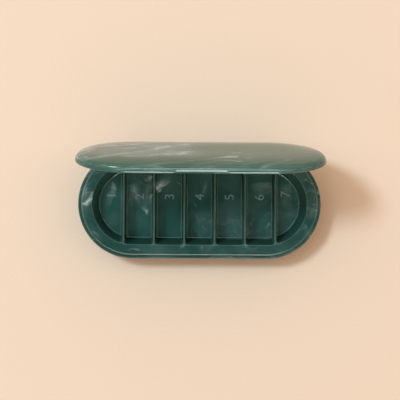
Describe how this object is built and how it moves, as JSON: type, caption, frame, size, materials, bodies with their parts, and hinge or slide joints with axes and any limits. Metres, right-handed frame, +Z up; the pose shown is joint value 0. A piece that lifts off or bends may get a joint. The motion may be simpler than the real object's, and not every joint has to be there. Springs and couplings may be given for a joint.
{
  "type": "weekly pill box",
  "caption": "Stadium-shaped pill box in glossy marbled plastic with a crowned lid on a rear barrel hinge and a tray of day wells between thin dividers.",
  "frame": {"origin": "middle of the rubber foot's underside, on the surface that the box stands on", "axes": "+X along the box, +Y towards the hinge, +Z up"},
  "size_m": [0.18, 0.0857, 0.099],
  "materials": {
    "marbled_shell": "gloss",
    "marbled_tray": "gloss",
    "marbled_lid": "gloss",
    "marbled_liner": "gloss",
    "pin_steel": "satin",
    "magnet_plating": "polished",
    "foot_rubber": "matte"
  },
  "bodies": {
    "base": {"base_shell": "marbled_shell", "compartment_tray": "marbled_tray", "hinge_pin_left": "pin_steel", "hinge_pin_right": "pin_steel", "tray_magnet_left": "magnet_plating", "tray_magnet_right": "magnet_plating", "rubber_foot": "foot_rubber"},
    "lid": {"lid_shell": "marbled_lid", "lid_liner": "marbled_liner", "lid_magnet_left": "magnet_plating", "lid_magnet_right": "magnet_plating"}
  },
  "joints": [
    {"name": "lid_hinge", "type": "hinge", "parent": "base", "child": "lid", "pos_m": [0, 0.0415, 0.0195], "axis": [-1, 0, 0], "range_deg": [-75, 30]}
  ]
}
